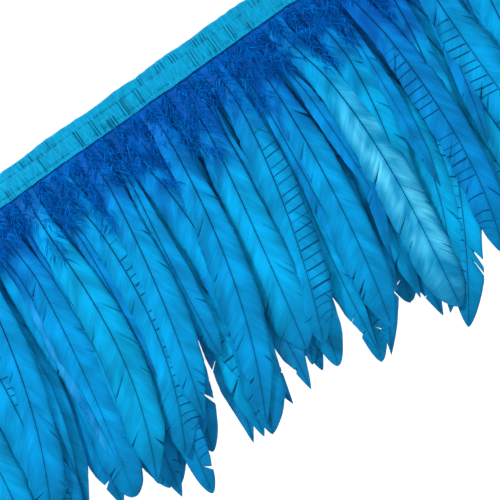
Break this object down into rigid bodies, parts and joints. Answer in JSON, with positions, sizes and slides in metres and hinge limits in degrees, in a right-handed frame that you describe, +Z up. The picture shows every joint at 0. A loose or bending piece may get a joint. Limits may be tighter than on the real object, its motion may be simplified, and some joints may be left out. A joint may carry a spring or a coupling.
{
  "type": "feather boa",
  "caption": "Feather trim: long curved cock-tail feathers hanging in bunches from a folded satin ribbon with two rows of stitches.",
  "frame": {"origin": "on the ribbon's flat back face, at the middle of its length and of its height", "axes": "+X along the ribbon, +Y out of the back, +Z up, towards the ribbon's folded edge"},
  "size_m": [0.6935, 0.0123, 0.3354],
  "materials": {
    "satin": "bright cyan satin ribbon, puckered at the stitches",
    "thread": "spun sewing thread, a shade darker than the ribbon",
    "cord": "dyed cotton stringing cord with dyed quill ends",
    "feather": "dyed cock-tail feathers: satiny barbed vanes, fluffy down at the root"
  },
  "bodies": {
    "section_1": {"ribbon_1": "satin", "quill_row_1": "cord", "upper_stitches_1": "thread", "lower_stitches_1": "thread"},
    "section_2": {"ribbon_2": "satin", "quill_row_2": "cord", "upper_stitches_2": "thread", "lower_stitches_2": "thread"},
    "section_3": {"ribbon_3": "satin", "quill_row_3": "cord", "upper_stitches_3": "thread", "lower_stitches_3": "thread"},
    "section_4": {"ribbon_4": "satin", "quill_row_4": "cord", "upper_stitches_4": "thread", "lower_stitches_4": "thread"},
    "section_5": {"ribbon_5": "satin", "quill_row_5": "cord", "upper_stitches_5": "thread", "lower_stitches_5": "thread"},
    "bunch_01": {"feather_bunch_01": "feather"},
    "bunch_02": {"feather_bunch_02": "feather"},
    "bunch_03": {"feather_bunch_03": "feather"},
    "bunch_04": {"feather_bunch_04": "feather"},
    "bunch_05": {"feather_bunch_05": "feather"},
    "bunch_06": {"feather_bunch_06": "feather"},
    "bunch_07": {"feather_bunch_07": "feather"},
    "bunch_08": {"feather_bunch_08": "feather"},
    "bunch_09": {"feather_bunch_09": "feather"},
    "bunch_10": {"feather_bunch_10": "feather"},
    "bunch_11": {"feather_bunch_11": "feather"},
    "bunch_12": {"feather_bunch_12": "feather"},
    "bunch_13": {"feather_bunch_13": "feather"},
    "bunch_14": {"feather_bunch_14": "feather"},
    "bunch_15": {"feather_bunch_15": "feather"},
    "bunch_16": {"feather_bunch_16": "feather"},
    "bunch_17": {"feather_bunch_17": "feather"},
    "bunch_18": {"feather_bunch_18": "feather"},
    "bunch_19": {"feather_bunch_19": "feather"},
    "bunch_20": {"feather_bunch_20": "feather"},
    "bunch_21": {"feather_bunch_21": "feather"},
    "bunch_22": {"feather_bunch_22": "feather"},
    "bunch_23": {"feather_bunch_23": "feather"},
    "bunch_24": {"feather_bunch_24": "feather"},
    "bunch_25": {"feather_bunch_25": "feather"},
    "bunch_26": {"feather_bunch_26": "feather"},
    "bunch_27": {"feather_bunch_27": "feather"},
    "bunch_28": {"feather_bunch_28": "feather"},
    "bunch_29": {"feather_bunch_29": "feather"},
    "bunch_30": {"feather_bunch_30": "feather"},
    "bunch_31": {"feather_bunch_31": "feather"},
    "bunch_32": {"feather_bunch_32": "feather"},
    "bunch_33": {"feather_bunch_33": "feather"},
    "bunch_34": {"feather_bunch_34": "feather"},
    "bunch_35": {"feather_bunch_35": "feather"},
    "bunch_36": {"feather_bunch_36": "feather"},
    "bunch_37": {"feather_bunch_37": "feather"},
    "bunch_38": {"feather_bunch_38": "feather"},
    "bunch_39": {"feather_bunch_39": "feather"},
    "bunch_40": {"feather_bunch_40": "feather"}
  },
  "joints": [
    {"name": "fold_1", "type": "hinge", "parent": "section_2", "child": "section_1", "pos_m": [-0.192, -0.0013, 0], "axis": [0, 0, -1], "range_deg": [-60, 60], "stiffness_Nm_per_rad": 0.02},
    {"name": "fold_2", "type": "hinge", "parent": "section_3", "child": "section_2", "pos_m": [-0.064, -0.0013, 0], "axis": [0, 0, -1], "range_deg": [-60, 60], "stiffness_Nm_per_rad": 0.02},
    {"name": "fold_3", "type": "hinge", "parent": "section_3", "child": "section_4", "pos_m": [0.064, -0.0013, 0], "axis": [0, 0, 1], "range_deg": [-60, 60], "stiffness_Nm_per_rad": 0.02},
    {"name": "fold_4", "type": "hinge", "parent": "section_4", "child": "section_5", "pos_m": [0.192, -0.0013, 0], "axis": [0, 0, 1], "range_deg": [-60, 60], "stiffness_Nm_per_rad": 0.02},
    {"name": "swing_01", "type": "hinge", "parent": "section_1", "child": "bunch_01", "pos_m": [-0.312, -0.0013, -0.0134], "axis": [-1, 0, 0], "range_deg": [-90, 90], "stiffness_Nm_per_rad": 0.002},
    {"name": "swing_02", "type": "hinge", "parent": "section_1", "child": "bunch_02", "pos_m": [-0.296, -0.0013, -0.0134], "axis": [-1, 0, 0], "range_deg": [-90, 90], "stiffness_Nm_per_rad": 0.002},
    {"name": "swing_03", "type": "hinge", "parent": "section_1", "child": "bunch_03", "pos_m": [-0.28, -0.0013, -0.0134], "axis": [-1, 0, 0], "range_deg": [-90, 90], "stiffness_Nm_per_rad": 0.002},
    {"name": "swing_04", "type": "hinge", "parent": "section_1", "child": "bunch_04", "pos_m": [-0.264, -0.0013, -0.0134], "axis": [-1, 0, 0], "range_deg": [-90, 90], "stiffness_Nm_per_rad": 0.002},
    {"name": "swing_05", "type": "hinge", "parent": "section_1", "child": "bunch_05", "pos_m": [-0.248, -0.0013, -0.0134], "axis": [-1, 0, 0], "range_deg": [-90, 90], "stiffness_Nm_per_rad": 0.002},
    {"name": "swing_06", "type": "hinge", "parent": "section_1", "child": "bunch_06", "pos_m": [-0.232, -0.0013, -0.0134], "axis": [-1, 0, 0], "range_deg": [-90, 90], "stiffness_Nm_per_rad": 0.002},
    {"name": "swing_07", "type": "hinge", "parent": "section_1", "child": "bunch_07", "pos_m": [-0.216, -0.0013, -0.0134], "axis": [-1, 0, 0], "range_deg": [-90, 90], "stiffness_Nm_per_rad": 0.002},
    {"name": "swing_08", "type": "hinge", "parent": "section_1", "child": "bunch_08", "pos_m": [-0.2, -0.0013, -0.0134], "axis": [-1, 0, 0], "range_deg": [-90, 90], "stiffness_Nm_per_rad": 0.002},
    {"name": "swing_09", "type": "hinge", "parent": "section_2", "child": "bunch_09", "pos_m": [-0.184, -0.0013, -0.0134], "axis": [-1, 0, 0], "range_deg": [-90, 90], "stiffness_Nm_per_rad": 0.002},
    {"name": "swing_10", "type": "hinge", "parent": "section_2", "child": "bunch_10", "pos_m": [-0.168, -0.0013, -0.0134], "axis": [-1, 0, 0], "range_deg": [-90, 90], "stiffness_Nm_per_rad": 0.002},
    {"name": "swing_11", "type": "hinge", "parent": "section_2", "child": "bunch_11", "pos_m": [-0.152, -0.0013, -0.0134], "axis": [-1, 0, 0], "range_deg": [-90, 90], "stiffness_Nm_per_rad": 0.002},
    {"name": "swing_12", "type": "hinge", "parent": "section_2", "child": "bunch_12", "pos_m": [-0.136, -0.0013, -0.0134], "axis": [-1, 0, 0], "range_deg": [-90, 90], "stiffness_Nm_per_rad": 0.002},
    {"name": "swing_13", "type": "hinge", "parent": "section_2", "child": "bunch_13", "pos_m": [-0.12, -0.0013, -0.0134], "axis": [-1, 0, 0], "range_deg": [-90, 90], "stiffness_Nm_per_rad": 0.002},
    {"name": "swing_14", "type": "hinge", "parent": "section_2", "child": "bunch_14", "pos_m": [-0.104, -0.0013, -0.0134], "axis": [-1, 0, 0], "range_deg": [-90, 90], "stiffness_Nm_per_rad": 0.002},
    {"name": "swing_15", "type": "hinge", "parent": "section_2", "child": "bunch_15", "pos_m": [-0.088, -0.0013, -0.0134], "axis": [-1, 0, 0], "range_deg": [-90, 90], "stiffness_Nm_per_rad": 0.002},
    {"name": "swing_16", "type": "hinge", "parent": "section_2", "child": "bunch_16", "pos_m": [-0.072, -0.0013, -0.0134], "axis": [-1, 0, 0], "range_deg": [-90, 90], "stiffness_Nm_per_rad": 0.002},
    {"name": "swing_17", "type": "hinge", "parent": "section_3", "child": "bunch_17", "pos_m": [-0.056, -0.0013, -0.0134], "axis": [-1, 0, 0], "range_deg": [-90, 90], "stiffness_Nm_per_rad": 0.002},
    {"name": "swing_18", "type": "hinge", "parent": "section_3", "child": "bunch_18", "pos_m": [-0.04, -0.0013, -0.0134], "axis": [-1, 0, 0], "range_deg": [-90, 90], "stiffness_Nm_per_rad": 0.002},
    {"name": "swing_19", "type": "hinge", "parent": "section_3", "child": "bunch_19", "pos_m": [-0.024, -0.0013, -0.0134], "axis": [-1, 0, 0], "range_deg": [-90, 90], "stiffness_Nm_per_rad": 0.002},
    {"name": "swing_20", "type": "hinge", "parent": "section_3", "child": "bunch_20", "pos_m": [-0.008, -0.0013, -0.0134], "axis": [-1, 0, 0], "range_deg": [-90, 90], "stiffness_Nm_per_rad": 0.002},
    {"name": "swing_21", "type": "hinge", "parent": "section_3", "child": "bunch_21", "pos_m": [0.008, -0.0013, -0.0134], "axis": [-1, 0, 0], "range_deg": [-90, 90], "stiffness_Nm_per_rad": 0.002},
    {"name": "swing_22", "type": "hinge", "parent": "section_3", "child": "bunch_22", "pos_m": [0.024, -0.0013, -0.0134], "axis": [-1, 0, 0], "range_deg": [-90, 90], "stiffness_Nm_per_rad": 0.002},
    {"name": "swing_23", "type": "hinge", "parent": "section_3", "child": "bunch_23", "pos_m": [0.04, -0.0013, -0.0134], "axis": [-1, 0, 0], "range_deg": [-90, 90], "stiffness_Nm_per_rad": 0.002},
    {"name": "swing_24", "type": "hinge", "parent": "section_3", "child": "bunch_24", "pos_m": [0.056, -0.0013, -0.0134], "axis": [-1, 0, 0], "range_deg": [-90, 90], "stiffness_Nm_per_rad": 0.002},
    {"name": "swing_25", "type": "hinge", "parent": "section_4", "child": "bunch_25", "pos_m": [0.072, -0.0013, -0.0134], "axis": [-1, 0, 0], "range_deg": [-90, 90], "stiffness_Nm_per_rad": 0.002},
    {"name": "swing_26", "type": "hinge", "parent": "section_4", "child": "bunch_26", "pos_m": [0.088, -0.0013, -0.0134], "axis": [-1, 0, 0], "range_deg": [-90, 90], "stiffness_Nm_per_rad": 0.002},
    {"name": "swing_27", "type": "hinge", "parent": "section_4", "child": "bunch_27", "pos_m": [0.104, -0.0013, -0.0134], "axis": [-1, 0, 0], "range_deg": [-90, 90], "stiffness_Nm_per_rad": 0.002},
    {"name": "swing_28", "type": "hinge", "parent": "section_4", "child": "bunch_28", "pos_m": [0.12, -0.0013, -0.0134], "axis": [-1, 0, 0], "range_deg": [-90, 90], "stiffness_Nm_per_rad": 0.002},
    {"name": "swing_29", "type": "hinge", "parent": "section_4", "child": "bunch_29", "pos_m": [0.136, -0.0013, -0.0134], "axis": [-1, 0, 0], "range_deg": [-90, 90], "stiffness_Nm_per_rad": 0.002},
    {"name": "swing_30", "type": "hinge", "parent": "section_4", "child": "bunch_30", "pos_m": [0.152, -0.0013, -0.0134], "axis": [-1, 0, 0], "range_deg": [-90, 90], "stiffness_Nm_per_rad": 0.002},
    {"name": "swing_31", "type": "hinge", "parent": "section_4", "child": "bunch_31", "pos_m": [0.168, -0.0013, -0.0134], "axis": [-1, 0, 0], "range_deg": [-90, 90], "stiffness_Nm_per_rad": 0.002},
    {"name": "swing_32", "type": "hinge", "parent": "section_4", "child": "bunch_32", "pos_m": [0.184, -0.0013, -0.0134], "axis": [-1, 0, 0], "range_deg": [-90, 90], "stiffness_Nm_per_rad": 0.002},
    {"name": "swing_33", "type": "hinge", "parent": "section_5", "child": "bunch_33", "pos_m": [0.2, -0.0013, -0.0134], "axis": [-1, 0, 0], "range_deg": [-90, 90], "stiffness_Nm_per_rad": 0.002},
    {"name": "swing_34", "type": "hinge", "parent": "section_5", "child": "bunch_34", "pos_m": [0.216, -0.0013, -0.0134], "axis": [-1, 0, 0], "range_deg": [-90, 90], "stiffness_Nm_per_rad": 0.002},
    {"name": "swing_35", "type": "hinge", "parent": "section_5", "child": "bunch_35", "pos_m": [0.232, -0.0013, -0.0134], "axis": [-1, 0, 0], "range_deg": [-90, 90], "stiffness_Nm_per_rad": 0.002},
    {"name": "swing_36", "type": "hinge", "parent": "section_5", "child": "bunch_36", "pos_m": [0.248, -0.0013, -0.0134], "axis": [-1, 0, 0], "range_deg": [-90, 90], "stiffness_Nm_per_rad": 0.002},
    {"name": "swing_37", "type": "hinge", "parent": "section_5", "child": "bunch_37", "pos_m": [0.264, -0.0013, -0.0134], "axis": [-1, 0, 0], "range_deg": [-90, 90], "stiffness_Nm_per_rad": 0.002},
    {"name": "swing_38", "type": "hinge", "parent": "section_5", "child": "bunch_38", "pos_m": [0.28, -0.0013, -0.0134], "axis": [-1, 0, 0], "range_deg": [-90, 90], "stiffness_Nm_per_rad": 0.002},
    {"name": "swing_39", "type": "hinge", "parent": "section_5", "child": "bunch_39", "pos_m": [0.296, -0.0013, -0.0134], "axis": [-1, 0, 0], "range_deg": [-90, 90], "stiffness_Nm_per_rad": 0.002},
    {"name": "swing_40", "type": "hinge", "parent": "section_5", "child": "bunch_40", "pos_m": [0.312, -0.0013, -0.0134], "axis": [-1, 0, 0], "range_deg": [-90, 90], "stiffness_Nm_per_rad": 0.002}
  ]
}
